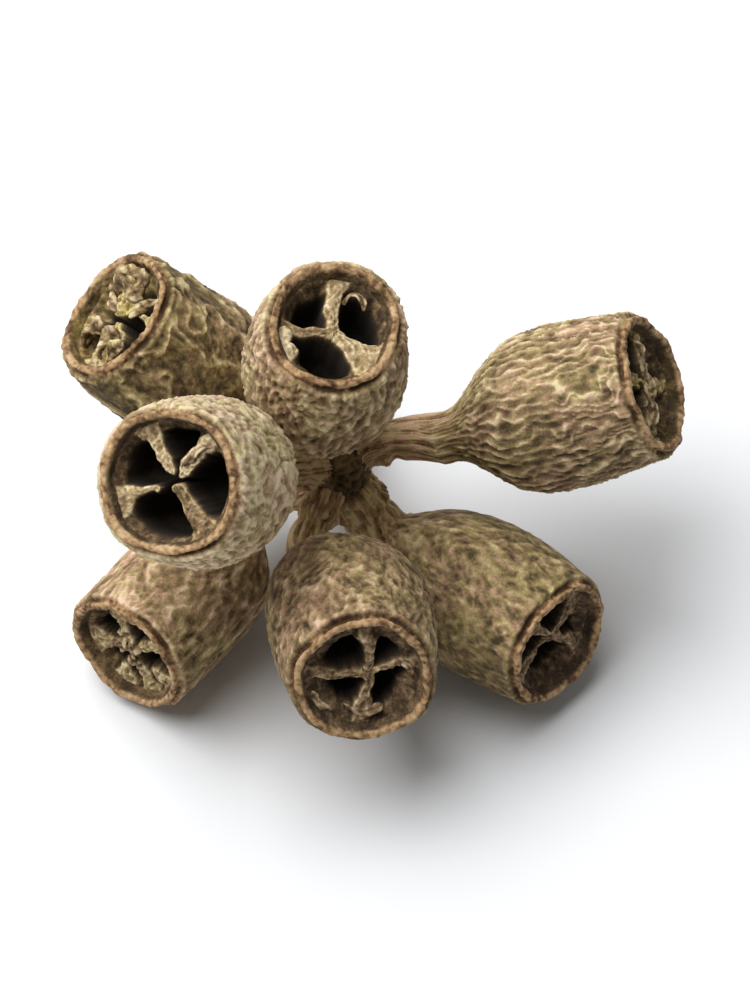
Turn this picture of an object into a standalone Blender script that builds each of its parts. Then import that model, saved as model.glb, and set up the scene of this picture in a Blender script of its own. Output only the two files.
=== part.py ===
"""A cluster of seven dried gum nuts on one short stalk, picked and laid down.

The script works in metres, +Z up. The cluster lies on z = 0 with its origin under the middle
of its bounding box. Most of the nuts face -Y and up, and the broken stalk rests behind them.
"""

import math
from collections import namedtuple

import bmesh
import bpy
from mathutils import Vector

MM = 0.001

# Where the nuts' stalks meet, measured from the origin.
RECEPTACLE = Vector((-2.71, 4.34, 9.475)) * MM
RECEPTACLE_RADIUS = 2.35 * MM

# Each nut, in millimetres and degrees: the middle of its mouth from the receptacle, the way
# the mouth faces round from +X and up from the ground, the length of its body, the radii of
# belly, rim and neck, its flare (low for a round base, high for one like a pear's), how far its
# stalk bows, and how far towards +X its base has swayed.
Nut = namedtuple("Nut", "name mouth heading rise length belly rim neck flare bow sway")
NUTS = (
    Nut("nut_upper_left", (-14.46, 4.90, 10.45), 174.5, 48.2, 14.6, 5.20, 4.55, 1.40, 0.90, 0.0, 0.0),
    Nut("nut_top", (0.15, -1.21, 17.73), -56.9, 79.0, 14.0, 5.30, 4.40, 1.50, 0.85, 0.0, 0.0),
    Nut("nut_left", (-10.60, -13.01, 16.73), -123.0, 49.0, 14.0, 5.56, 4.95, 1.45, 0.75, 0.0, 0.0),
    Nut("nut_lower_left", (-13.81, -12.34, -4.04), -128.8, 3.8, 14.3, 4.74, 4.48, 1.35, 0.80, 0.0, -1.0),
    Nut("nut_front", (2.00, -19.76, 3.92), -83.1, 21.4, 14.6, 5.42, 4.68, 1.35, 0.95, 0.0, -1.9),
    Nut("nut_lower_right", (14.90, -12.22, -2.95), -42.5, 10.4, 14.9, 5.15, 4.47, 2.20, 0.80, 0.0, 0.0),
    Nut("nut_right", (21.09, 0.16, 9.25), -3.7, 28.4, 15.9, 5.36, 4.55, 1.70, 1.90, 0.8, 0.0),
)

# The body's outline, as shares of its length and of its belly radius.
BELLY_AT = 0.55
SHOULDER_POWER = 2.6
TAPER_POWER = 1.8
SWAY_WAY = Vector((1.0, 0.0, 0.0))

# The hollow of a nut: its wall, and the shares of the body's length where its rings are.
RIM_WALL = 0.75 * MM
BELLY_WALL = 1.15 * MM
RIM_EDGE = 0.18 * MM
VALVE_TOP_AT = 0.88
VALVE_FOOT_AT = 0.83
FLOOR_AT = 0.30
HOLLOW_RINGS_AT = (0.94, VALVE_TOP_AT, VALVE_FOOT_AT, 0.68, BELLY_AT, 0.42, 0.34)

# The four valves rise from the wall and nearly meet below the mouth.
VALVES = 4
VALVE_TIP_AT = 0.915
VALVE_REACH = 0.82

# The thin stalk that carries one nut.
PEDICEL_START = 2.80 * MM
PEDICEL_FOOT_RADIUS = 1.05 * MM
PEDICEL_SPACING = 0.84
SPREADING_ROUNDS = 80
BOW_WAY = Vector((0.0, 0.82, 0.57)) * MM

# The shared stalk runs back from the receptacle to its broken end on the ground.
STALK_END = Vector((0.30, 12.20, -8.18)) * MM
STALK_BOW = Vector((0.40, 6.00, -5.20)) * MM
STALK_RADIUS = 1.25 * MM
STALK_FOOT_RADIUS = 1.38 * MM
HEAD_TOP_ANGLE = math.radians(14)

SIDES = 24
VALVE_COLUMNS = 2
PEDICEL_RINGS = 7
BODY_RINGS = 13
STALK_RINGS = 14
HEAD_RINGS = 7
CREASE_ANGLE = math.radians(50)

HUSK_COLOUR = (0.27, 0.21, 0.12, 1.0)
STALK_COLOUR = (0.20, 0.14, 0.075, 1.0)
DRY_ROUGHNESS = 0.85


def clear_scene():
    for obj in list(bpy.data.objects):
        bpy.data.objects.remove(obj)


def dry_material(name, colour):
    material = bpy.data.materials.new(name)
    material.use_nodes = True
    shader = material.node_tree.nodes["Principled BSDF"]
    shader.inputs["Base Color"].default_value = colour
    shader.inputs["Roughness"].default_value = DRY_ROUGHNESS
    shader.inputs["Metallic"].default_value = 0.0
    material.diffuse_color = colour
    return material


def facing(nut):
    """Unit vector along the nut's axis, out of its mouth."""
    turn, lift = math.radians(nut.heading), math.radians(nut.rise)
    return Vector((math.cos(turn) * math.cos(lift), math.sin(turn) * math.cos(lift), math.sin(lift)))


def body_point(nut, share):
    """The point on the nut's middle line at this share of the way from its base to its mouth."""
    straight = Vector(nut.mouth) - facing(nut) * nut.length * (1 - share)
    return (straight + SWAY_WAY * nut.sway * max(0.0, 1 - share / BELLY_AT) ** 2) * MM


def base_facing(nut):
    """Unit vector along the nut's middle line at its base."""
    return (facing(nut) - SWAY_WAY * 2 * nut.sway / (BELLY_AT * nut.length)).normalized()


def smooth_curve(start, start_pull, end, end_pull, share):
    """Point and direction on the Hermite curve between two ends."""
    s = share
    point = (
        start * (2 * s**3 - 3 * s**2 + 1)
        + start_pull * (s**3 - 2 * s**2 + s)
        + end * (3 * s**2 - 2 * s**3)
        + end_pull * (s**3 - s**2)
    )
    slope = (
        start * (6 * s**2 - 6 * s)
        + start_pull * (3 * s**2 - 4 * s + 1)
        + end * (6 * s - 6 * s**2)
        + end_pull * (3 * s**2 - 2 * s)
    )
    return point, slope.normalized()


def spread_apart(directions, fixed):
    """Turns the directions until no two, nor one and a fixed one, are nearer than the spacing."""
    turned = [direction.normalized() for direction in directions]
    for _ in range(SPREADING_ROUNDS):
        for i, one in enumerate(turned):
            for other in [*turned[:i], *turned[i + 1 :], *fixed]:
                gap = one - other
                if gap.length < PEDICEL_SPACING:
                    one = (one + gap.normalized() * (PEDICEL_SPACING - gap.length) / 2).normalized()
            turned[i] = one
    return turned


def outer_radius(nut, share):
    """Radius of the body at this share of its length."""
    swell = (1 - max(0.0, 1 - share / BELLY_AT) ** SHOULDER_POWER) ** nut.flare
    neck = (nut.neck / nut.belly) ** 2 * (1 - share)
    radius = nut.belly * math.sqrt(neck + swell**2 * (1 - neck))
    past_belly = max(0.0, (share - BELLY_AT) / (1 - BELLY_AT))
    return radius * (1 - (1 - nut.rim / nut.belly) * past_belly**TAPER_POWER) * MM


def inner_radius(nut, share):
    """Radius of the hollow at this share of the body's length."""
    depth = min(1.0, (1 - share) / (1 - BELLY_AT))
    wall = RIM_WALL + (BELLY_WALL - RIM_WALL) * depth
    below_belly = max(0.0, (BELLY_AT - share) / (BELLY_AT - FLOOR_AT))
    return (outer_radius(nut, share) - wall) * math.sqrt(1 - below_belly**2)


def add_ring(bm, centre, axis, side, radius):
    """A ring of vertices square to axis, its first vertex towards side."""
    across = axis.cross(side)
    ring = []
    for k in range(SIDES):
        turn = math.tau * k / SIDES
        ring.append(bm.verts.new(centre + radius * (math.cos(turn) * side + math.sin(turn) * across)))
    return ring


def add_tube(bm, stations, side):
    """Rings along (centre, direction, radius) stations, turned as little as the route allows."""
    rings = []
    for centre, direction, radius in stations:
        side = (side - direction * side.dot(direction)).normalized()
        rings.append(add_ring(bm, centre, direction, side, radius))
    return rings, side


def skin(bm, rings):
    """Quads between neighbouring rings and a flat face on each end; returns the quads by row."""
    rows = []
    for lower, upper in zip(rings, rings[1:]):
        row = []
        for k in range(SIDES):
            after = (k + 1) % SIDES
            row.append(bm.faces.new((lower[k], lower[after], upper[after], upper[k])))
        rows.append(row)
    bm.faces.new(list(reversed(rings[0])))
    bm.faces.new(rings[-1])
    return rows


def nut_stations(nut, start):
    """Outer stations of a nut, from the foot of its stalk to just under its rim."""
    base, axis = body_point(nut, 0), facing(nut)
    foot = start * PEDICEL_START
    pull = (base - foot).length
    neck = nut.neck * MM
    stations = []
    for k in range(PEDICEL_RINGS):
        share = k / PEDICEL_RINGS
        point, direction = smooth_curve(foot, start * pull, base, base_facing(nut) * pull, share)
        early = math.sqrt(share)
        point += BOW_WAY * nut.bow * 4 * early * (1 - early)
        radius = PEDICEL_FOOT_RADIUS + (neck - PEDICEL_FOOT_RADIUS) * early
        stations.append((point, direction, radius))
    last = 1 - RIM_EDGE / (nut.length * MM)
    for k in range(BODY_RINGS):
        # The rings crowd towards the base, where the outline turns fastest.
        share = last * (k / (BODY_RINGS - 1)) ** 1.5
        stations.append((body_point(nut, share), axis, outer_radius(nut, share)))
    return stations


def raise_valves(bm, row, tip):
    """Draws a valve out of each quarter of this row of the inner wall, towards the tip."""
    for valve in range(VALVES):
        first = valve * SIDES // VALVES
        foot = row[first : first + VALVE_COLUMNS]
        made = bmesh.ops.extrude_face_region(bm, geom=foot)["geom"]
        for vertex in (item for item in made if isinstance(item, bmesh.types.BMVert)):
            vertex.co = vertex.co.lerp(tip, VALVE_REACH)
        bmesh.ops.delete(bm, geom=[face for face in foot if face.is_valid], context="FACES_ONLY")


def nut_mesh(nut, start):
    """One nut with its own stalk: outside, rim, hollow and valves in one closed skin."""
    bm = bmesh.new()
    axis = facing(nut)
    rings, side = add_tube(bm, nut_stations(nut, start), axis.orthogonal().normalized())
    rim = nut.rim * MM
    rings.append(add_ring(bm, body_point(nut, 1), axis, side, rim - RIM_EDGE))
    rings.append(add_ring(bm, body_point(nut, 1), axis, side, rim - RIM_WALL))
    valve_row = len(rings) + HOLLOW_RINGS_AT.index(VALVE_TOP_AT)
    for share in HOLLOW_RINGS_AT:
        rings.append(add_ring(bm, body_point(nut, share), axis, side, inner_radius(nut, share)))
    rows = skin(bm, rings)
    raise_valves(bm, rows[valve_row], body_point(nut, VALVE_TIP_AT))
    return finished(bm, nut.name)


def stalk_stations():
    """Stations of the round receptacle and of the stalk that bows from it to the ground."""
    leaving = STALK_BOW.normalized()
    neck_angle = math.pi - math.asin(STALK_RADIUS / RECEPTACLE_RADIUS)
    stations = []
    for k in range(HEAD_RINGS):
        angle = HEAD_TOP_ANGLE + (neck_angle - HEAD_TOP_ANGLE) * k / (HEAD_RINGS - 1)
        centre = -leaving * RECEPTACLE_RADIUS * math.cos(angle)
        stations.append((centre, leaving, RECEPTACLE_RADIUS * math.sin(angle)))
    neck = leaving * RECEPTACLE_RADIUS
    pull = (STALK_END - neck).length
    for k in range(1, STALK_RINGS + 1):
        share = k / STALK_RINGS
        point, direction = smooth_curve(neck, leaving * pull, STALK_END, STALK_END - STALK_BOW, share)
        radius = STALK_RADIUS + (STALK_FOOT_RADIUS - STALK_RADIUS) * share**3
        stations.append((point, direction, radius))
    return stations


def stalk_mesh():
    bm = bmesh.new()
    rings, _ = add_tube(bm, stalk_stations(), STALK_BOW.orthogonal().normalized())
    skin(bm, rings)
    return finished(bm, "stalk")


def finished(bm, name):
    mesh = bpy.data.meshes.new(name)
    bm.normal_update()
    bm.to_mesh(mesh)
    bm.free()
    mesh.shade_smooth()
    mesh.set_sharp_from_angle(angle=CREASE_ANGLE)
    return mesh


def place(name, mesh, material, centre):
    mesh.materials.append(material)
    obj = bpy.data.objects.new(name, mesh)
    bpy.context.collection.objects.link(obj)
    obj.parent = centre


def main():
    clear_scene()
    husk = dry_material("dry_husk", HUSK_COLOUR)
    bark = dry_material("dry_stalk", STALK_COLOUR)
    centre = bpy.data.objects.new("receptacle_centre", None)
    centre.location = RECEPTACLE
    bpy.context.collection.objects.link(centre)

    place("stalk", stalk_mesh(), bark, centre)
    starts = spread_apart([body_point(nut, 0) for nut in NUTS], [STALK_BOW.normalized()])
    for nut, start in zip(NUTS, starts):
        place(nut.name, nut_mesh(nut, start), husk, centre)


main()
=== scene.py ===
"""Looks of the dried gum nut cluster: wrinkled husks, woody rims, frayed valves and a ridged stalk.

Shapes are worked out in millimetres from the receptacle, where the nuts' stalks meet, and are
turned into metres in the frame when their meshes are made.
"""

import math
from collections import namedtuple

import bpy
import numpy as np
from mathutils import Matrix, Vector, noise


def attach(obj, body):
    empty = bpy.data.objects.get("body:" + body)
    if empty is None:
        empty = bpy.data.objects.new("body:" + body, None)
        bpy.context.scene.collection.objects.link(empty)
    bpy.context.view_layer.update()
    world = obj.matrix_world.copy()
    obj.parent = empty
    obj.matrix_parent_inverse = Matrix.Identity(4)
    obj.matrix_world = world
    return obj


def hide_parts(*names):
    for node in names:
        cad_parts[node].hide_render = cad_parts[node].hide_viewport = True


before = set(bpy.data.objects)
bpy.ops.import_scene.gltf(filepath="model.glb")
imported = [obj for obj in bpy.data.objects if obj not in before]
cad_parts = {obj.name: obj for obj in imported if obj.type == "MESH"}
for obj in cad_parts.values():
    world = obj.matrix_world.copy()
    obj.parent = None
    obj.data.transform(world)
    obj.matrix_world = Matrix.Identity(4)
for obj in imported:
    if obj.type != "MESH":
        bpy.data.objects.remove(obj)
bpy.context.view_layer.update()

MM = 0.001
UP = np.array((0.0, 0.0, 1.0))

# Painted shade: the skins are browner on this side, towards the nuts' stalks.
SHADE_PAINT_SIDE = np.array((-0.9, 0.0, 0.1))

# The photograph looks down at this angle, along +Y.
VIEW_RISE = math.radians(55)
TO_CAMERA = np.array((0.0, -math.cos(VIEW_RISE), math.sin(VIEW_RISE)))
IMAGE_UP = np.array((0.0, math.sin(VIEW_RISE), math.cos(VIEW_RISE)))

# The layout of the solids, as in the frame's model. A nut has the middle of its mouth from the
# receptacle, the heading and rise of its axis in degrees, its length, its radius at the belly,
# the rim and the neck, how fast its foot flares, and how far its stalk bows and its foot sways.
RECEPTACLE = np.array((-2.71, 4.34, 9.475))
RECEPTACLE_RADIUS = 2.35
Nut = namedtuple("Nut", "name mouth heading rise length belly rim neck flare bow sway")
NUTS = (
    Nut("nut_upper_left", (-14.46, 4.90, 10.45), 174.5, 48.2, 14.6, 5.20, 4.55, 1.40, 0.90, 0.0, 0.0),
    Nut("nut_top", (0.15, -1.21, 17.73), -56.9, 79.0, 14.0, 5.30, 4.40, 1.50, 0.85, 0.0, 0.0),
    Nut("nut_left", (-10.60, -13.01, 16.73), -123.0, 49.0, 14.0, 5.56, 4.95, 1.45, 0.75, 0.0, 0.0),
    Nut("nut_lower_left", (-13.81, -12.34, -4.04), -128.8, 3.8, 14.3, 4.74, 4.48, 1.35, 0.80, 0.0, -1.0),
    Nut("nut_front", (2.00, -19.76, 3.92), -83.1, 21.4, 14.6, 5.42, 4.68, 1.35, 0.95, 0.0, -1.9),
    Nut("nut_lower_right", (14.90, -12.22, -2.95), -42.5, 10.4, 14.9, 5.15, 4.47, 2.20, 0.80, 0.0, 0.0),
    Nut("nut_right", (21.09, 0.16, 9.25), -3.7, 28.4, 15.9, 5.36, 4.55, 1.70, 1.90, 0.8, 0.0),
)
BELLY_AT = 0.55
SHOULDER_POWER = 2.6
TAPER_POWER = 1.8
PEDICEL_START = 2.80
PEDICEL_SPACING = 0.84
SPREADING_ROUNDS = 80
BOW_WAY = np.array((0.0, 0.82, 0.57))
SWAY_WAY = np.array((1.0, 0.0, 0.0))
STALK_END = np.array((0.30, 12.20, -8.18))
STALK_BOW = np.array((0.40, 6.00, -5.20))
STALK_RADIUS = 1.25
STALK_FOOT_RADIUS = 1.38

# In the looks the nuts' stalks start this much deeper, inside the receptacle. Near it their radius
# is this share of the neck's, but never under the least one. A raised collar and the groove after
# it go round each stalk, as their places along it, heights and widths.
PEDICEL_ROOT = 1.0
PEDICEL_SHARE_OF_NECK = 0.76
PEDICEL_LEAST_RADIUS = 1.15
COLLAR = ((1.5, 0.22, 0.35), (2.2, -0.14, 0.35))

# How each husk dried: the height in millimetres of its folds, how far they are drawn out along the
# nut, how much of the skin they leave bare, the number and height of its long wrinkles, the height
# of its fine pebbles and of the flutes on its stalk, the number of those flutes, how pale, green
# and pink its skin is, how much its mouth leans towards the camera, and the seed of its noise.
Husk = namedtuple(
    "Husk", "folds stretch bare lines line_height pebbles flute_height flutes pale green pink lean seed"
)
HUSKS = {
    "nut_upper_left": Husk(0.12, 1.5, 0.65, 11, 0.20, 0.03, 0.10, 9, 0.46, 0.62, 0.30, 0.00, 1),
    "nut_top": Husk(0.17, 2.6, 0.15, 24, 0.10, 0.13, 0.12, 9, 1.05, 0.35, 0.33, 0.10, 2),
    "nut_left": Husk(0.16, 2.0, 0.20, 18, 0.05, 0.14, 0.10, 8, 1.55, 0.32, 0.30, 0.00, 3),
    "nut_lower_left": Husk(0.08, 2.0, 0.55, 22, 0.08, 0.05, 0.10, 8, 0.85, 0.42, 0.50, 0.00, 4),
    "nut_front": Husk(0.09, 1.8, 0.45, 18, 0.05, 0.08, 0.08, 8, 0.36, 0.44, 0.36, 0.05, 5),
    "nut_lower_right": Husk(0.05, 1.8, 0.60, 22, 0.04, 0.05, 0.18, 15, 0.44, 0.60, 0.30, 0.00, 6),
    "nut_right": Husk(0.10, 3.0, 0.05, 42, 0.18, 0.03, 0.12, 10, 0.72, 0.45, 0.34, 0.00, 7),
}

# What shows in each mouth: how pale its lip is, the width of the shelf between the wall and the
# seed chambers, how green, how bright and how ragged the inside is, the point that the valves
# reach for, and the valves. Places in a mouth are millimetres to the right and up from its
# middle, seen from outside. A valve has its place as degrees clockwise from up, its width at the
# wall and at its tip, its share of the way to that point, the depth of its tip below the mouth,
# how far it bows sideways and how much paler than usual it is.
Mouth = namedtuple("Mouth", "lip shelf moss bright frill middle valves")
Valve = namedtuple("Valve", "clock foot tip reach depth bow pale", defaults=(0.0,))
MOUTHS = {
    "nut_upper_left": Mouth(0.45, 1.0, 0.70, 0.13, 0.22, (0.2, 0.1), (
        Valve(350, 4.6, 2.4, 0.62, 0.45, 0.2), Valve(85, 1.2, 0.5, 0.55, 0.80, 0.2),
        Valve(190, 4.0, 2.2, 0.58, 0.50, -0.2), Valve(262, 2.2, 0.8, 0.35, 1.00, 0.1))),
    "nut_top": Mouth(0.46, 0.50, 0.25, 0.05, 0.10, (-0.1, -0.1), (
        Valve(8, 1.4, 0.85, 1.00, 0.85, -0.15, 0.05),
        Valve(130, 3.4, 0.70, 1.00, 1.00, 0.10, 0.12), Valve(276, 1.0, 0.60, 1.00, 1.00, -0.15, -0.12),
        Valve(244, 1.6, 1.50, 0.03, 0.50, 0.00, 0.25), Valve(266, 1.5, 1.40, 0.03, 0.50, 0.00, 0.30))),
    "nut_left": Mouth(0.46, 0.45, 0.20, 0.04, 0.17, (0.1, 0.1), (
        Valve(333, 1.9, 0.70, 0.80, 0.95, 0.10, 0.05), Valve(45, 1.5, 0.75, 0.78, 0.90, -0.15, 0.12),
        Valve(146, 1.9, 0.80, 0.84, 1.05, 0.12, -0.14), Valve(250, 2.3, 0.45, 0.72, 0.95, 0.25, 0.08))),
    "nut_lower_left": Mouth(0.44, 0.60, 0.35, 0.06, 0.26, (0.1, 0.1), (
        Valve(10, 1.7, 0.85, 0.84, 0.70, 0.15), Valve(95, 1.7, 0.80, 0.84, 0.80, -0.15),
        Valve(150, 1.6, 0.90, 0.30, 0.70, 0.10, 0.05), Valve(185, 1.8, 0.85, 0.82, 0.75, 0.15),
        Valve(228, 2.0, 1.00, 0.35, 0.70, -0.10, 0.10), Valve(280, 2.2, 0.85, 0.84, 0.80, 0.10))),
    "nut_front": Mouth(0.47, 1.10, 0.10, 0.03, 0.18, (0.4, -0.2), (
        Valve(358, 1.1, 0.75, 1.00, 0.85, 0.15, -0.12), Valve(74, 1.1, 0.60, 1.00, 0.90, -0.20, -0.10),
        Valve(180, 1.4, 0.75, 1.00, 0.95, -0.12, -0.12), Valve(268, 1.0, 0.60, 1.00, 0.90, 0.10, -0.14))),
    "nut_lower_right": Mouth(0.44, 0.90, 0.05, 0.00, 0.18, (-0.1, 0.2), (
        Valve(18, 1.4, 0.62, 1.00, 0.90, 0.25, -0.08), Valve(98, 1.3, 0.55, 1.00, 0.90, -0.20, -0.10),
        Valve(205, 1.2, 0.50, 1.00, 0.95, 0.45, -0.08), Valve(283, 1.3, 0.60, 1.00, 0.95, 0.15, -0.12))),
    "nut_right": Mouth(0.46, 0.95, 0.55, 0.00, 0.22, (-0.3, 0.1), (
        Valve(2, 1.6, 0.70, 0.92, 0.50, 0.20), Valve(92, 1.4, 0.60, 0.85, 0.80, -0.20),
        Valve(182, 1.6, 0.70, 0.92, 0.45, 0.20), Valve(272, 1.6, 0.80, 0.80, 0.60, 0.20))),
}

# Curled shreds of the valves: their radius and the points they pass through, as right, up and
# depth in the mouth.
Curl = namedtuple("Curl", "radius points")
CURLS = {
    "nut_upper_left": (
        Curl(0.62, ((-2.2, 2.4, 0.9), (-1.2, 3.0, 0.4), (0.1, 3.0, 0.3), (1.3, 2.3, 0.6))),
        Curl(0.50, ((-1.6, 2.2, 0.7), (-0.4, 2.4, 0.2), (0.8, 2.0, 0.3), (1.1, 1.2, 0.8))),
        Curl(0.27, ((-1.5, 2.0, 0.6), (-1.3, 1.4, 0.3), (-0.8, 0.9, 0.4), (-0.5, 0.5, 0.8))),
        Curl(0.26, ((3.0, 1.6, 1.1), (2.3, 1.0, 0.6), (1.5, 0.4, 0.5), (0.9, 0.2, 0.8))),
        Curl(0.45, ((-2.9, -1.9, 1.1), (-2.5, -1.0, 0.5), (-1.6, -0.6, 0.3), (-0.9, -1.1, 0.5))),
        Curl(0.42, ((-0.3, -3.1, 0.9), (-0.4, -2.1, 0.4), (0.2, -1.3, 0.3), (1.1, -1.5, 0.5))),
        Curl(0.40, ((0.6, -3.2, 0.9), (1.0, -2.4, 0.4), (1.8, -2.3, 0.6))),
    ),
    "nut_right": (
        Curl(0.22, ((-0.9, 3.3, 0.8), (-0.2, 2.5, 0.3), (-0.9, 1.5, 0.3), (-0.5, 0.5, 0.5))),
        Curl(0.24, ((-0.7, 0.3, 0.6), (-1.2, -0.7, 0.3), (-0.5, -1.7, 0.2), (-0.8, -2.9, 0.7))),
        Curl(0.20, ((0.3, 1.6, 1.0), (0.1, 0.7, 0.6), (0.6, -0.3, 0.5), (0.1, -1.2, 0.9))),
    ),
    "nut_top": (
        Curl(0.17, ((0.7, 1.9, 1.1), (1.1, 2.4, 0.6), (1.7, 2.3, 0.45), (2.0, 1.8, 0.5), (2.0, 1.3, 0.8))),
    ),
    "nut_front": (
        Curl(0.24, ((-1.1, -2.5, 1.2), (-0.2, -2.9, 0.8), (0.8, -2.8, 0.7), (1.5, -2.3, 0.8))),
        Curl(0.20, ((-3.2, -1.4, 1.0), (-2.7, -2.3, 0.8), (-1.8, -3.0, 1.0))),
        Curl(0.17, ((2.5, 0.9, 0.9), (3.0, 0.7, 0.6), (3.2, 0.0, 0.8))),
    ),
    "nut_left": (
        Curl(0.20, ((2.7, 2.4, 1.2), (1.9, 2.1, 0.8), (1.1, 1.2, 0.8), (0.6, 0.9, 1.1))),
    ),
    "nut_lower_left": (
        Curl(0.27, ((0.0, 1.2, 0.8), (0.1, 0.7, 0.5), (0.0, 0.3, 0.6))),
        Curl(0.26, ((1.1, 0.1, 0.9), (0.7, 0.0, 0.6), (0.4, 0.1, 0.7))),
        Curl(0.28, ((0.1, -1.2, 0.8), (0.0, -0.7, 0.5), (0.2, -0.3, 0.6))),
        Curl(0.26, ((-1.2, 0.2, 0.9), (-0.7, 0.3, 0.6), (-0.3, 0.1, 0.7))),
    ),
}

# The skin's edge and the lip, as depth below the mouth and distance out from the rim's radius.
# The first points follow the body's own outline.
LIP = (
    (1.50, 0.00), (1.10, 0.04), (0.80, 0.03), (0.55, -0.10), (0.38, -0.20), (0.20, -0.18),
    (0.05, -0.22), (0.00, -0.36), (0.03, -0.54), (0.16, -0.68), (0.45, -0.78), (0.90, -0.90),
)
LIP_POINTS_ON_BODY = 4

# The crease under the lip and the raised edge of the skin.
CREASE_DEPTH = 0.44
CREASE_WIDTH = 0.13
SKIN_EDGE_DEPTH = 0.72
SKIN_EDGE_WIDTH = 0.17

# The floor of a mouth.
VALVE_FOOT_DEPTH = 0.90
SHELF_FALL = 0.75
CHAMBER_DEPTH = 2.8
CHAMBER_WALL = 0.40

# A curl's section is a flat ribbon, wider and thinner than round by these shares.
CURL_WIDE = 1.35
CURL_THIN = 0.55

# How finely the meshes are divided.
SIDES = 240
PEDICEL_STEP = 0.17
OUTLINE_POINTS = 600
SKIN_STEP = 0.115
LIP_STEP = 0.075
FLOOR_RINGS = 48
CURL_SIDES = 28
CURL_STEP = 0.09
STALK_SIDES = 128
HEAD_RINGS = 46
STALK_RINGS = 100
STALK_END_RINGS = 14

# Sockets of the node that mixes colours: the share, the two colours and the result.
MIX_INPUTS = (0, 6, 7)
MIX_OUTPUT = 2

# The picture's width in millimetres, and its middle from the receptacle, to the right and down.
PICTURE_WIDTH = 49.4
PICTURE_RIGHT = 2.73
PICTURE_DOWN = 2.21

# In metres: how far the camera and the light are, and half the floor's width.
CAMERA_DISTANCE = 0.8
LIGHT_DISTANCE = 0.8
FLOOR_HALF = 3.0


def unit(vector):
    return vector / np.linalg.norm(vector)


def smoothstep(low, high, value):
    share = np.clip((value - low) / (high - low), 0, 1)
    return share * share * (3 - 2 * share)


def hump(value, middle, width):
    """A smooth bump, 1 at the middle."""
    return np.exp(-(((value - middle) / width) ** 2))


def smooth_min(first, second, reach):
    share = np.clip(0.5 + 0.5 * (second - first) / reach, 0, 1)
    return second * (1 - share) + first * share - reach * share * (1 - share)


def noise_at(points, size, seed):
    """Smooth noise, about -1 to 1, with lumps about this size, at each point of an array."""
    shifted = points.reshape(-1, 3) / size + seed * np.array((17.3, 5.71, 11.9))
    values = [noise.noise(row) for row in shifted.tolist()]
    return np.array(values).reshape(points.shape[:-1])


def ridged(points, size, seed, sharpness):
    """Thin lines that wander and join: 1 along them, 0 between them."""
    return 1 - np.minimum(1, np.abs(noise_at(points, size, seed)) * sharpness)


def facing(nut):
    """Unit vector along the nut's axis, out of its mouth."""
    turn, lift = math.radians(nut.heading), math.radians(nut.rise)
    return np.array((math.cos(turn) * math.cos(lift), math.sin(turn) * math.cos(lift), math.sin(lift)))


def mouth_sides(nut):
    """The axis of a nut, and the right and up of its mouth as seen from outside."""
    axis = facing(nut)
    up = unit(IMAGE_UP - axis * IMAGE_UP.dot(axis))
    return axis, np.cross(up, axis), up


def middle_line(nut, share):
    """Points on the nut's middle line at these shares of the way from its base to its mouth."""
    straight = np.array(nut.mouth) - facing(nut) * nut.length * (1 - share)[:, None]
    return straight + SWAY_WAY * nut.sway * np.maximum(0, 1 - share / BELLY_AT)[:, None] ** 2


def outer_radius(nut, share):
    """Radius of the body at these shares of its length."""
    swell = (1 - np.maximum(0, 1 - share / BELLY_AT) ** SHOULDER_POWER) ** nut.flare
    neck = (nut.neck / nut.belly) ** 2 * (1 - share)
    radius = nut.belly * np.sqrt(neck + swell**2 * (1 - neck))
    past_belly = np.maximum(0, (share - BELLY_AT) / (1 - BELLY_AT))
    return radius * (1 - (1 - nut.rim / nut.belly) * past_belly**TAPER_POWER)


def smooth_curve(start, start_pull, end, end_pull, shares):
    """Points and directions on the Hermite curve between two ends."""
    s = shares[:, None]
    points = (
        start * (2 * s**3 - 3 * s**2 + 1)
        + start_pull * (s**3 - 2 * s**2 + s)
        + end * (3 * s**2 - 2 * s**3)
        + end_pull * (s**3 - s**2)
    )
    slopes = (
        start * (6 * s**2 - 6 * s)
        + start_pull * (3 * s**2 - 4 * s + 1)
        + end * (6 * s - 6 * s**2)
        + end_pull * (3 * s**2 - 2 * s)
    )
    return points, slopes / np.linalg.norm(slopes, axis=1, keepdims=True)


def spread_apart(directions, fixed):
    """Turns the directions until no two, nor one and a fixed one, are nearer than the spacing."""
    turned = [unit(direction) for direction in directions]
    for _ in range(SPREADING_ROUNDS):
        for i, one in enumerate(turned):
            for other in [*turned[:i], *turned[i + 1 :], *fixed]:
                gap = one - other
                short = PEDICEL_SPACING - np.linalg.norm(gap)
                if short > 0:
                    one = unit(one + unit(gap) * short / 2)
            turned[i] = one
    return turned


def soften(points, rounds):
    """Cuts the corners of an open line of points."""
    for _ in range(rounds):
        early = points[:-1] * 0.75 + points[1:] * 0.25
        late = points[:-1] * 0.25 + points[1:] * 0.75
        middle = np.stack((early, late), axis=1).reshape(-1, points.shape[1])
        points = np.concatenate((points[:1], middle, points[-1:]))
    return points


def even(points, step):
    """The open line of points, divided into equal steps of about this length."""
    travel = np.concatenate(([0], np.cumsum(np.linalg.norm(np.diff(points, axis=0), axis=1))))
    places = np.linspace(0, travel[-1], max(3, round(travel[-1] / step) + 1))
    return np.stack([np.interp(places, travel, column) for column in points.T], axis=1)


def ring_directions(directions, last_side, sides):
    """Unit vectors out of each ring, turned as little as the route allows, and their angles."""
    side = last_side
    carried = []
    for direction in directions[::-1]:
        side = unit(side - direction * side.dot(direction))
        carried.append(side)
    carried = np.array(carried[::-1])
    across = np.cross(directions, carried)
    around = np.linspace(0, math.tau, sides, endpoint=False)[None, :]
    out = np.cos(around)[..., None] * carried[:, None] + np.sin(around)[..., None] * across[:, None]
    return out, around


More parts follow.
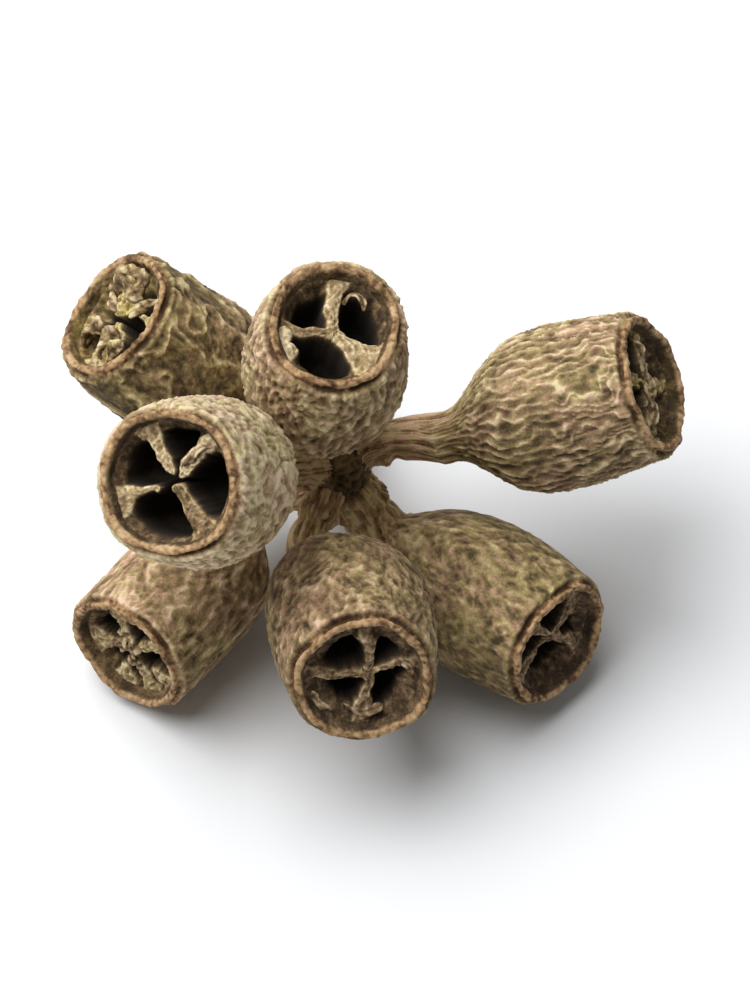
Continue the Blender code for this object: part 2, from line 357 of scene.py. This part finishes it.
def surface_normals(grid):
    """Outward unit normals of a grid of rings."""
    along = np.gradient(grid, axis=0)
    around = np.roll(grid, -1, axis=1) - np.roll(grid, 1, axis=1)
    normals = np.cross(around, along)
    return normals / np.maximum(np.linalg.norm(normals, axis=2, keepdims=True), 1e-9)


def make_mesh(name, points, faces, attributes):
    """A smooth mesh in metres in the frame, with one number per point for each attribute."""
    mesh = bpy.data.meshes.new(name)
    places = points + RECEPTACLE
    places[:, 2] = np.maximum(places[:, 2], 0)
    mesh.from_pydata((places * MM).tolist(), [], faces)
    for key, values in attributes.items():
        layer = mesh.attributes.new(key, "FLOAT", "POINT")
        layer.data.foreach_set("value", np.asarray(values, np.float32).reshape(-1))
    mesh.shade_smooth()
    obj = bpy.data.objects.new(name, mesh)
    bpy.context.collection.objects.link(obj)
    return obj


def closed_tube(name, grid, attributes):
    """A grid of rings as a closed skin: quads between the rings and a fan over each end."""
    rings, sides = grid.shape[:2]
    ring = np.arange(rings - 1)[:, None] * sides
    here = np.arange(sides)
    after = (here + 1) % sides
    quads = np.stack((ring + here, ring + after, ring + sides + after, ring + sides + here), axis=2)
    first, last = rings * sides, rings * sides + 1
    top = (rings - 1) * sides
    fans = [(b, a, first) for a, b in zip(here.tolist(), after.tolist())]
    fans += [(top + a, top + b, last) for a, b in zip(here.tolist(), after.tolist())]
    points = np.concatenate((grid.reshape(-1, 3), [grid[0].mean(0), grid[-1].mean(0)]))
    padded = {}
    for key, values in attributes.items():
        full = np.broadcast_to(values, (rings, sides))
        padded[key] = np.concatenate((full.reshape(-1), [full[0].mean(), full[-1].mean()]))
    return make_mesh(name, points, quads.reshape(-1, 4).tolist() + fans, padded)


def nut_outline(nut):
    """Rows of (height above the base, radius, whether inside) from the base to the foot of the wall."""
    skin_end = 1 - LIP[0][0] / nut.length
    shares = np.linspace(0, skin_end, OUTLINE_POINTS)
    skin = np.stack((shares * nut.length, outer_radius(nut, shares)), axis=1)
    depths = np.array([depth for depth, _ in LIP])
    lip = np.array([(nut.length - depth, nut.rim + out) for depth, out in LIP])
    on_body = np.arange(len(LIP)) < LIP_POINTS_ON_BODY
    lip[:, 1] += (outer_radius(nut, 1 - depths / nut.length) - nut.rim) * on_body
    skin = even(skin, SKIN_STEP)[:-1]
    lip = even(soften(lip, 3), LIP_STEP)
    top = lip[:, 0].argmax()
    inward = np.concatenate((np.zeros(len(skin) + top), np.ones(len(lip) - top)))
    return np.column_stack((np.concatenate((skin, lip)), inward))


def nut_rings(nut, start):
    """Centre, direction, radius, height and inwardness of every ring, from the stalk's foot on."""
    axis = facing(nut)
    base = middle_line(nut, np.zeros(1))[0]
    base_axis = unit(axis - SWAY_WAY * 2 * nut.sway / (BELLY_AT * nut.length))
    foot = start * (PEDICEL_START - PEDICEL_ROOT)
    pull = np.linalg.norm(base - foot)
    shares = np.linspace(0, 1, round(pull / PEDICEL_STEP))[:-1]
    centres, directions = smooth_curve(foot, start * pull, base, base_axis * pull, shares)
    early = np.sqrt(shares)[:, None]
    centres = centres + BOW_WAY * nut.bow * 4 * early * (1 - early)
    slim = max(PEDICEL_LEAST_RADIUS, PEDICEL_SHARE_OF_NECK * nut.neck)
    travel = shares * pull
    collar = sum(height * hump(travel, place, width) for place, height, width in COLLAR)
    stalk_radii = slim + (nut.neck - slim) * shares**2 + collar
    outline = nut_outline(nut)
    centres = np.concatenate((centres, middle_line(nut, outline[:, 0] / nut.length)))
    directions = np.concatenate((directions, np.repeat(axis[None], len(outline), axis=0)))
    heights = np.concatenate(((shares - 1) * pull, outline[:, 0]))
    radii = np.concatenate((stalk_radii, outline[:, 1]))
    inward = np.concatenate((np.zeros(len(shares)), outline[:, 2]))
    return centres, directions, radii, heights, inward


def folds_of_skin(nut, husk, grid, around, radii, heights):
    """Height in millimetres of a dried skin's folds, and how raised each point is for its colour, with
    painted shade in the grooves and painted highlight on the ridges.
    """
    column = heights / nut.length
    upper = smoothstep(-0.1, 0.6, column)[:, None]

    # Places on the skin for its noise, drawn out along the nut and most along its stalk.
    girth = (0.6 * radii + 1.6)[:, None]
    stretch = 4.4 + (husk.stretch - 4.4) * upper[:, 0]
    run = np.concatenate(([0], np.cumsum(np.linalg.norm(np.diff(grid.mean(1), axis=0), axis=1))))
    flow = np.cumsum(np.gradient(run) / stretch)[:, None]
    place = np.stack((np.cos(around) * girth, np.sin(around) * girth, flow + 0 * around), axis=2)
    bend = np.stack([noise_at(place, 2.4, husk.seed + 20 + k) for k in range(3)], axis=2)
    place = place + bend * (0.25 + 0.55 * upper)[..., None]

    # The folds and pebbles of the body.
    ridges = ridged(place, 0.62, husk.seed, 3.4)
    small_ridges = ridged(place, 0.36, husk.seed + 30, 3.0)
    grooves = ridged(place, 0.80, husk.seed + 40, 4.0)
    pebbles = noise_at(place, 0.30, husk.seed + 60)
    mottle = noise_at(place, 0.55, husk.seed + 65)
    cover = 0.5 + 0.9 * noise_at(place, 1.9, husk.seed + 70)
    cover = smoothstep(husk.bare - 0.75, husk.bare + 0.25, cover)
    folds = 0.60 * ridges + 0.30 * small_ridges - 0.35 * grooves

    # The flutes of the stalk and the grains at its foot.
    neck = smoothstep(0.38, -0.05, column)[:, None]
    foot = smoothstep(3.4, 1.8, run)[:, None]
    grains = noise_at(grid, 0.55, husk.seed + 78) + 0.6 * noise_at(grid, 0.28, husk.seed + 79)
    wander = 1.6 * noise_at(np.stack((flow * 0.8, 0 * flow, 0 * flow), axis=2), 1.0, husk.seed + 75)
    flutes = np.abs(np.sin(husk.flutes / 2 * around + wander + 0.8 * bend[..., 0]))

    # The long wrinkles, more tangled towards the mouth.
    tangle = 0.65 * math.sqrt(husk.lines / 44) * (1 + 1.0 * smoothstep(0.50, 0.95, column))[:, None]
    drift = 5.5 * noise_at(grid, 2.2, husk.seed + 76) + 2.2 * noise_at(grid, 0.9, husk.seed + 77)
    crests = (1 - np.abs(np.sin(husk.lines / 2 * around + drift * tangle))) ** 2 - 0.25

    height = (
        husk.folds * cover * folds * (1 - 0.3 * neck)
        + husk.line_height * crests * (1 - 0.8 * neck)
        + husk.pebbles * pebbles
        + husk.flute_height * neck * (1 - 0.7 * foot) * (flutes - 0.6)
        + 0.22 * foot * grains
    )
    # Painted shade and highlight: the colour darkens in the grooves and lightens on the ridges and crests,
    # over the skin's own pebbles and mottling.
    strength = cover * (0.55 + 1.6 * husk.folds)
    raised = (
        0.50
        + 0.42 * strength * (ridges - 0.30)
        + 0.26 * strength * (small_ridges - 0.35)
        - 0.24 * strength * (grooves - 0.25)
        + (0.06 + 3.0 * husk.line_height) * crests * (1 - 0.7 * neck)
        + 0.34 * pebbles
        + 0.24 * mottle
        + 0.35 * neck * (1 - 0.7 * foot) * (flutes - 0.6)
        + 0.35 * foot * grains
    )
    return height, raised


def mouth_floor(mouth, wall, right, up, seed):
    """Depth below the mouth, paleness and darkness of the floor of a mouth at these places; the darkness is
    painted shade in the seed chambers.
    """
    flat = np.stack((right, up, 0 * right), axis=-1)
    reach = np.hypot(right, up)
    turned = flat / np.maximum(reach, 0.05)[..., None]
    warp = 0.16 + mouth.frill * 0.8
    fray = mouth.frill * 0.5
    x = right + warp * noise_at(flat, 0.9, seed + 1) + fray * noise_at(flat, 0.33, seed + 2)
    y = up + warp * noise_at(flat, 0.9, seed + 3) + fray * noise_at(flat, 0.33, seed + 4)
    along = np.stack((0 * reach, 0 * reach, reach * 0.9), axis=-1)
    streaks = noise_at(turned * 3.0 + along, 0.55, seed + 5)

    # How far each place is from the nearest valve, negative on it, and the valve's level and tone.
    clear = np.full_like(right, wall)
    top = np.full_like(right, VALVE_FOOT_DEPTH)
    valve_pale = np.zeros_like(right)
    for valve in mouth.valves:
        clock = math.radians(valve.clock)
        foot = wall * np.array((math.sin(clock), math.cos(clock)))
        line = (np.array(mouth.middle) - foot) * valve.reach
        share = np.clip(((x - foot[0]) * line[0] + (y - foot[1]) * line[1]) / line.dot(line), 0, 1)
        bow = valve.bow * 4 * share * (1 - share) / np.linalg.norm(line)
        off_x = x - foot[0] - line[0] * share + line[1] * bow
        off_y = y - foot[1] - line[1] * share - line[0] * bow
        half = valve.tip / 2 + (valve.foot - valve.tip) / 2 * (1 - share) ** 2
        beside = np.hypot(off_x, off_y) - half
        crown = 0.35 * half * np.clip(1 + beside / half, 0, 1) ** 2
        level = VALVE_FOOT_DEPTH + (valve.depth - VALVE_FOOT_DEPTH) * share**0.7 + crown
        nearer = beside < clear
        top = np.where(nearer, level, top)
        valve_pale = np.where(nearer, valve.pale, valve_pale)
        clear = np.minimum(clear, beside)

    # The shelf along the wall, the valves over it, and the chambers between them.
    ragged = 1 + 0.45 * noise_at(turned, 0.7, seed + 6) + 0.25 * noise_at(turned, 0.25, seed + 7)
    inside_shelf = wall - mouth.shelf * ragged - reach
    shelf = VALVE_FOOT_DEPTH + SHELF_FALL * (wall - reach) / mouth.shelf
    hole = smooth_min(clear, inside_shelf, 0.35)
    depth = np.minimum(shelf, top + 1.8 * np.maximum(0, clear))
    on_valve = smoothstep(0.10, -0.12, clear)
    swirl = ridged(flat, 0.50, seed + 8, 2.6) - 0.4
    shreds = noise_at(flat, 0.26, seed + 9)
    depth = depth - 0.07 * streaks - mouth.frill * (0.7 * swirl + 0.5 * shreds) * on_valve
    depth = depth + CHAMBER_DEPTH * smoothstep(0, CHAMBER_WALL, hole)
    torn_edge = hump(clear, -0.07, 0.09)
    pale = (
        0.30
        + (0.30 + valve_pale) * on_valve
        + 0.20 * torn_edge
        + 0.24 * streaks
        + 0.22 * shreds
        + mouth.frill * swirl
    )
    return depth, np.clip(pale, 0, 1), smoothstep(-0.04, 0.12, hole)


def make_husk(nut, start, material):
    """One nut with its own stalk: the skin, the lip, the wall inside and the floor with its valves."""
    husk, mouth = HUSKS[nut.name], MOUTHS[nut.name]
    axis, right, up = mouth_sides(nut)
    middle = np.array(nut.mouth)
    centres, directions, radii, heights, inward = nut_rings(nut, start)
    out, around = ring_directions(directions, up, SIDES)
    below = (nut.length - heights)[:, None]
    column = (heights / nut.length)[:, None]
    inward = inward[:, None]
    near_mouth = smoothstep(2.4, 0.3, below)

    # The body is a little out of round, and the lip more so.
    lump = noise_at(out + axis * column[..., None] * 2.2, 1.1, husk.seed + 80)
    uneven = noise_at(out, 0.45, husk.seed + 81) * near_mouth
    squarish = 0.018 * np.cos(4 * around - husk.seed) * near_mouth
    wide = radii[:, None] * (1 + 0.06 * lump + squarish) + 0.12 * uneven
    grid = centres[:, None] + out * wide[..., None]

    outside = (1 - inward) * smoothstep(0.40, 0.75, below)
    fold_height, raised = folds_of_skin(nut, husk, grid, around, radii, heights)
    edge_noise = noise_at(out, 0.5, husk.seed + 82)
    skin_edge = hump(below, SKIN_EDGE_DEPTH, SKIN_EDGE_WIDTH) * (1 - inward)
    crease = hump(below, CREASE_DEPTH, CREASE_WIDTH) * (1 - inward)
    grit = 0.12 * noise_at(grid, 1.30, husk.seed + 90) + 0.08 * noise_at(grid, 0.3, husk.seed + 91)
    height = (
        fold_height * outside * (1 - 0.4 * skin_edge)
        + 0.16 * skin_edge * np.clip(0.6 + edge_noise, 0, 1.3)
        - 0.24 * crease * np.clip(0.6 + 1.2 * edge_noise, 0.05, 1.4)
        + (1 - outside) * grit
    )
    grid = grid + surface_normals(grid) * height[..., None]

    # The top of the lip is worn and frayed.
    ring = out * nut.rim
    worn = 0.20 * noise_at(ring, 2.2, husk.seed + 97) + 0.10 * noise_at(ring, 0.7, husk.seed + 98)
    grid = grid + axis * (worn * near_mouth)[..., None]

    # The floor of the mouth starts from the foot of the wall.
    wall_foot = grid[-1] - middle
    foot_depth = -wall_foot @ axis
    wall = nut.rim + LIP[-1][1]
    shares = np.linspace(1, 0.01, FLOOR_RINGS + 1)[1:, None]
    floor_right, floor_up = (wall_foot @ right) * shares, (wall_foot @ up) * shares
    depth, pale_floor, hole = mouth_floor(mouth, wall, floor_right, floor_up, husk.seed * 10 + 300)
    joined = smoothstep(0, 0.35, (1 - shares) * wall)
    depth = foot_depth * (1 - joined) + depth * joined
    floor = middle + floor_right[..., None] * right + floor_up[..., None] * up - depth[..., None] * axis
    grid = np.concatenate((grid, floor))

    # The mouth leans a little from square towards the camera.
    lean = husk.lean * unit(TO_CAMERA - axis * TO_CAMERA.dot(axis))
    depths = (middle - grid) @ axis
    grid = grid - axis * ((grid - middle) @ lean * smoothstep(6.0, 1.0, depths))[..., None]

    # Numbers for the colours, first of all rings and then of those above the floor.
    rings = slice(0, len(column))
    patch = noise_at(grid, 3.4, husk.seed + 100)
    blotch = noise_at(grid, 1.2, husk.seed + 101)
    speck = noise_at(grid, 0.40, husk.seed + 102)
    streaks = noise_at(grid[rings], 0.9, husk.seed + 103)
    past_top = inward * smoothstep(0.10, 0.40, below)
    lip = (1 - outside) * smoothstep(0.60, 0.45, below) * (1 - past_top)
    inner = inward * smoothstep(0.08, 0.45, below)
    inner_edge = inward * smoothstep(0.12, 0.40, below)
    # Painted shade: near its stalk one side of each skin takes the neck's browner tint, so the neck carries
    # this shade as well as the stalk's own colour.
    painted_side_shade = smoothstep(0.42, 0.10, column + 0.10 * blotch[rings]) * smoothstep(0.0, 0.8, out @ SHADE_PAINT_SIDE)
    neck = np.maximum(smoothstep(0.20, -0.12, column + 0.05 * patch[rings]), 0.8 * painted_side_shade)
    # Painted shade: each skin is darker on its side that faces down as seen from the camera.
    painted_underside_shade = smoothstep(0.3, -0.7, out @ IMAGE_UP) * (1 - neck)
    crease_shade = 0.42 * crease * np.clip(0.7 + 1.2 * edge_noise, 0.1, 1.3)
    large_spots = noise_at(ring, 1.5, husk.seed + 104)
    small_spots = noise_at(grid[rings], 0.32, husk.seed + 105)
    lip_tone = mouth.lip + (0.40 * large_spots + 0.42 * small_spots) - 0.30 * inner_edge
    skin_tone = raised * outside + lip_tone * (1 - outside) - crease_shade + 0.12 * skin_edge
    # The necks are made paler, partly their own colour and partly painted light against the shade round the
    # receptacle; the painted underside shade darkens the rest.
    neck_tone_and_painted_light = 0.8 * neck - 0.35 * painted_underside_shade

    def whole(on_skin, on_floor):
        """Values on the rings of the skin and lip, followed by those on the rings of the floor."""
        on_skin = np.broadcast_to(on_skin, (len(column), SIDES))
        return np.concatenate((on_skin, np.broadcast_to(on_floor, (FLOOR_RINGS, SIDES))))

    attributes = {
        "raised": whole(skin_tone, 0.5),
        "lip": whole(lip, 0.0),
        "inner": whole(inner, 1.0),
        "pale_inner": np.clip(whole(0.30 + 0.30 * streaks, pale_floor) + mouth.bright, 0, 1),
        "hole": whole(0.0, hole),
        "neck": whole(neck, 0.0),
        "pale": np.clip(husk.pale - 0.1 + 0.5 * blotch + whole(neck_tone_and_painted_light, 0.0), 0, 1.4),
        "green": np.clip(husk.green + 0.6 * patch + 1.0 * speck, 0, 1),
        "pink": np.clip(husk.pink - 0.6 * patch - 0.9 * speck, 0, 1),
        "moss": np.clip(mouth.moss * (0.8 + 0.9 * blotch), 0, 1),
    }
    piece = closed_tube(nut.name + "_husk", grid, attributes)
    piece.data.materials.append(material)
    return piece


def make_curl(nut, curl, number, material):
    """A shred of a valve: a ragged ribbon that twists on its way and is thinner at its ends."""
    axis, right, up = mouth_sides(nut)
    seed = HUSKS[nut.name].seed * 10 + number + 500
    places = np.array(curl.points) * (1, 1, -1)
    line = even(soften(places @ np.array((right, up, axis)), 4), CURL_STEP)
    directions = np.gradient(line, axis=0)
    directions /= np.linalg.norm(directions, axis=1, keepdims=True)
    out, around = ring_directions(directions, unit(np.cross(directions[-1], axis)), CURL_SIDES)
    share = np.linspace(0, 1, len(line))[:, None]
    rounding = np.sqrt(np.clip(1 - (2 * share - 1) ** 6, 0.01, 1))
    turn = around + 0.9 * np.sin(5 * share + seed)
    section = 1 / np.hypot(np.cos(turn) / CURL_WIDE, np.sin(turn) / CURL_THIN)
    grid = np.array(nut.mouth) + line[:, None] + out * (curl.radius * rounding * section)[..., None]
    ragged = 0.45 * noise_at(grid, 0.8, seed) + 0.22 * noise_at(grid, 0.3, seed + 1)
    grid = grid + out * (curl.radius * ragged * rounding)[..., None]
    on_edge = np.abs(np.cos(turn))
    folds = ridged(grid, 0.7, seed + 3, 2.8)
    attributes = {
        "pale_inner": np.clip(0.72 + 0.30 * (on_edge - 0.5) + 0.8 * ragged - 0.45 * folds, 0, 1),
        "inner": 1.0,
        "moss": np.clip(0.35 * MOUTHS[nut.name].moss * (1 + 2 * noise_at(grid, 0.8, seed + 2)), 0, 1),
    }
    piece = closed_tube(f"{nut.name}_curl_{number}", grid, attributes)
    piece.data.materials.append(material)
    return piece


def make_stalk(material):
    """The lumpy receptacle and the ridged stalk down to its broken end."""
    leaving = unit(STALK_BOW)
    neck_angle = math.pi - math.asin(STALK_RADIUS / RECEPTACLE_RADIUS)
    angles = np.linspace(0.04, neck_angle, HEAD_RINGS)
    head = -leaving * (RECEPTACLE_RADIUS * np.cos(angles))[:, None]
    neck = leaving * RECEPTACLE_RADIUS
    pull = np.linalg.norm(STALK_END - neck)
    shares = np.linspace(0, 1, STALK_RINGS)[1:]
    line, directions = smooth_curve(neck, leaving * pull, STALK_END, STALK_END - STALK_BOW, shares)
    stalk_radii = STALK_RADIUS + (STALK_FOOT_RADIUS - STALK_RADIUS) * shares**3
    closing = np.linspace(1, 0.03, STALK_END_RINGS)[1:]
    centres = np.concatenate((head, line, np.repeat(line[-1:], len(closing), axis=0)))
    directions = np.concatenate((
        np.repeat(leaving[None], len(head), axis=0),
        directions,
        np.repeat(directions[-1:], len(closing), axis=0),
    ))
    radii = np.concatenate((RECEPTACLE_RADIUS * np.sin(angles), stalk_radii, stalk_radii[-1] * closing))
    out, _ = ring_directions(directions, unit(np.cross(directions[-1], UP)), STALK_SIDES)
    grid = centres[:, None] + out * radii[:, None, None]
    run = np.concatenate(([0], np.cumsum(np.linalg.norm(np.diff(centres, axis=0), axis=1))))
    place = out * 1.9 + (run / 4.5)[:, None, None] * np.array((0.3, 0.5, 0.8))
    ridge = ridged(place, 0.8, 301, 2.6)
    lumps = noise_at(grid, 1.1, 302)
    grains = noise_at(grid, 0.35, 303)
    on_head = smoothstep(1.0, -0.5, run - run[len(head) - 1])[:, None]
    on_end = np.concatenate((np.zeros(len(head) + len(line)), 1 - closing))[:, None]
    height = 0.22 * (ridge - 0.5) * (1 - on_head) + 0.26 * lumps + 0.16 * grains * on_head
    grid = grid + surface_normals(grid) * (height * (1 - on_end))[..., None]
    splinter = noise_at(out * 2 + radii[:, None, None] * directions[:, None], 0.5, 304)
    grid = grid + directions[:, None] * (0.25 * splinter * smoothstep(0, 0.3, on_end))[..., None]
    attributes = {
        "raised": np.clip(0.55 * ridge + 0.20 + 0.25 * grains, 0, 1),
        "speckle": np.clip(on_head * (0.5 + 1.2 * grains), 0, 1),
        "cut": smoothstep(0.02, 0.3, on_end),
    }
    piece = closed_tube("stalk_bark", grid, attributes)
    piece.data.materials.append(material)
    return piece


class Shader:
    """A Principled material and short ways to wire its nodes."""

    def __init__(self, name):
        self.material = bpy.data.materials.new(name)
        self.material.use_nodes = True
        self.tree = self.material.node_tree
        self.principled = self.tree.nodes["Principled BSDF"]

    def node(self, kind, **settings):
        made = self.tree.nodes.new(kind)
        for key, value in settings.items():
            setattr(made, key, value)
        return made

    def link(self, source, target):
        self.tree.links.new(source, target)

    def attribute(self, name):
        return self.node("ShaderNodeAttribute", attribute_name=name).outputs["Fac"]

    def noise(self, size, detail):
        """Noise with features of about this size in millimetres, 0 to 1."""
        made = self.node("ShaderNodeTexNoise")
        made.inputs["Scale"].default_value = 1 / (size * MM)
        made.inputs["Detail"].default_value = detail
        self.link(self.node("ShaderNodeTexCoord").outputs["Object"], made.inputs["Vector"])
        return made.outputs["Fac"]

    def math(self, operation, first, second):
        made = self.node("ShaderNodeMath", operation=operation)
        for socket, value in zip(made.inputs, (first, second)):
            if isinstance(value, (int, float)):
                socket.default_value = value
            else:
                self.link(value, socket)
        return made.outputs[0]

    def nudged(self, value, *changes):
        """The value with each (number from 0 to 1, weight) added, counted from the number's middle."""
        for number, weight in changes:
            from_middle = self.math("SUBTRACT", number, 0.5)
            value = self.math("ADD", value, self.math("MULTIPLY", from_middle, weight))
        return value

    def ramp(self, value, stops):
        made = self.node("ShaderNodeValToRGB")
        elements = made.color_ramp.elements
        while len(elements) < len(stops):
            elements.new(0.5)
        for element, (place, colour) in zip(elements, stops):
            element.position = place
            element.color = (*colour, 1)
        self.link(value, made.inputs[0])
        return made.outputs["Color"]

    def mix(self, amount, first, second, blend="MIX"):
        made = self.node("ShaderNodeMix", data_type="RGBA", blend_type=blend)
        for number, value in zip(MIX_INPUTS, (amount, first, second)):
            socket = made.inputs[number]
            if isinstance(value, tuple):
                socket.default_value = (*value, 1)
            else:
                self.link(value, socket)
        return made.outputs[MIX_OUTPUT]

    def finish(self, colour, bump, bump_height):
        self.link(colour, self.principled.inputs["Base Color"])
        self.principled.inputs["Roughness"].default_value = 0.85
        self.principled.inputs["Specular IOR Level"].default_value = 0.20
        made = self.node("ShaderNodeBump")
        made.inputs["Distance"].default_value = bump_height * MM
        made.inputs["Strength"].default_value = 1.0
        self.link(bump, made.inputs["Height"])
        self.link(made.outputs[0], self.principled.inputs["Normal"])
        return self.material


def husk_material():
    shader = Shader("dry_husk")
    grain = shader.noise(0.17, 4)
    soft = shader.noise(0.55, 3)
    raised = shader.attribute("raised")
    pale = shader.attribute("pale")
    skin = shader.ramp(shader.nudged(raised, (grain, 0.60), (soft, 0.50), (pale, 0.38)), (
        (0.00, (0.060, 0.042, 0.025)),
        (0.26, (0.155, 0.110, 0.061)),
        (0.50, (0.285, 0.207, 0.116)),
        (0.74, (0.440, 0.335, 0.205)),
        (1.00, (0.680, 0.570, 0.400)),
    ))
    skin = shader.mix(shader.attribute("green"), skin, (0.92, 0.96, 0.70), "MULTIPLY")
    skin = shader.mix(shader.attribute("pink"), skin, (1.07, 0.90, 0.92), "MULTIPLY")
    skin = shader.mix(shader.attribute("neck"), skin, (0.95, 0.86, 0.80), "MULTIPLY")
    lip = shader.ramp(shader.nudged(raised, (grain, 0.60), (soft, 0.40)), (
        (0.08, (0.075, 0.038, 0.018)),
        (0.30, (0.205, 0.120, 0.058)),
        (0.52, (0.395, 0.245, 0.120)),
        (0.85, (0.580, 0.412, 0.232)),
    ))
    skin = shader.mix(shader.attribute("lip"), skin, lip)
    inner = shader.ramp(shader.nudged(shader.attribute("pale_inner"), (grain, 0.60), (soft, 0.25)), (
        (0.05, (0.026, 0.017, 0.011)),
        (0.32, (0.085, 0.053, 0.030)),
        (0.58, (0.230, 0.150, 0.082)),
        (0.80, (0.450, 0.330, 0.195)),
        (1.00, (0.720, 0.600, 0.420)),
    ))
    inner = shader.mix(shader.attribute("moss"), inner, (0.92, 1.00, 0.52), "MULTIPLY")
    # Painted shade: the seed chambers' own dark brown is deepened to near black.
    inner = shader.mix(shader.attribute("hole"), inner, (0.032, 0.024, 0.017))
    return shader.finish(shader.mix(shader.attribute("inner"), skin, inner), grain, 0.07)


def stalk_material():
    shader = Shader("dry_stalk")
    grain = shader.noise(0.20, 4)
    bark = shader.ramp(shader.nudged(shader.attribute("raised"), (grain, 0.7)), (
        (0.10, (0.022, 0.016, 0.010)),
        (0.45, (0.090, 0.062, 0.034)),
        (0.75, (0.200, 0.140, 0.076)),
        (1.00, (0.380, 0.290, 0.170)),
    ))
    bark = shader.mix(shader.math("MULTIPLY", shader.attribute("speckle"), grain), bark, (0.22, 0.15, 0.05))
    bark = shader.mix(shader.attribute("cut"), bark, (0.36, 0.24, 0.12))
    return shader.finish(bark, grain, 0.06)


def carry(piece, node):
    """Moves with the one body and stands for this node, whose solid is hidden."""
    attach(piece, "root")
    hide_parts(node)


def make_floor():
    mesh = bpy.data.meshes.new("floor")
    low, high = -FLOOR_HALF, FLOOR_HALF
    corners = [(low, low, 0), (high, low, 0), (high, high, 0), (low, high, 0)]
    mesh.from_pydata(corners, [], [(0, 1, 2, 3)])
    floor = bpy.data.objects.new("floor", mesh)
    bpy.context.collection.objects.link(floor)
    material = bpy.data.materials.new("pale_floor")
    material.use_nodes = True
    shader = material.node_tree.nodes["Principled BSDF"]
    shader.inputs["Base Color"].default_value = (0.800, 0.815, 0.835, 1)
    shader.inputs["Roughness"].default_value = 0.9
    shader.inputs["Specular IOR Level"].default_value = 0.1
    mesh.materials.append(material)


def aim(obj, target):
    """Points the object's -Z at the target, with its +Y up."""
    obj.rotation_euler = (target - obj.location).to_track_quat("-Z", "Y").to_euler()


def make_light(name, direction, size, power, target):
    data = bpy.data.lights.new(name, "AREA")
    data.shape = "DISK"
    data.size = size
    data.energy = power
    light = bpy.data.objects.new(name, data)
    light.location = target + Vector(direction).normalized() * LIGHT_DISTANCE
    bpy.context.collection.objects.link(light)
    aim(light, target)


def make_lighting():
    world = bpy.data.worlds.new("studio")
    world.use_nodes = True
    background = world.node_tree.nodes["Background"]
    background.inputs["Color"].default_value = (1, 1, 1, 1)
    background.inputs["Strength"].default_value = 0.16
    bpy.context.scene.world = world
    middle = Vector((0, 0, 0.01))
    make_light("key", direction=(-0.44, 0.14, 1.0), size=0.95, power=11.6, target=middle)
    bpy.context.scene.view_settings.view_transform = "Standard"


def make_camera():
    """A long lens at the photograph's angle, close enough for the cluster to fill the frame."""
    offset = np.array((PICTURE_RIGHT, 0, 0)) - IMAGE_UP * PICTURE_DOWN
    target = Vector((RECEPTACLE + offset) * MM)
    data = bpy.data.cameras.new("camera")
    data.sensor_fit = "HORIZONTAL"
    data.sensor_width = 36.0
    data.lens = data.sensor_width * CAMERA_DISTANCE / (PICTURE_WIDTH * MM)
    data.clip_start = 0.05
    data.clip_end = 20
    camera = bpy.data.objects.new("camera", data)
    camera.location = target + Vector(TO_CAMERA) * CAMERA_DISTANCE
    bpy.context.collection.objects.link(camera)
    aim(camera, target)
    bpy.context.scene.camera = camera


make_camera()
make_lighting()
make_floor()
husk_finish = husk_material()
bases = [middle_line(nut, np.zeros(1))[0] for nut in NUTS]
starts = spread_apart(bases, [unit(STALK_BOW)])
for nut, start in zip(NUTS, starts):
    carry(make_husk(nut, start, husk_finish), nut.name)
    for number, curl in enumerate(CURLS.get(nut.name, ()), 1):
        carry(make_curl(nut, curl, number, husk_finish), nut.name)
carry(make_stalk(stalk_material()), "stalk")
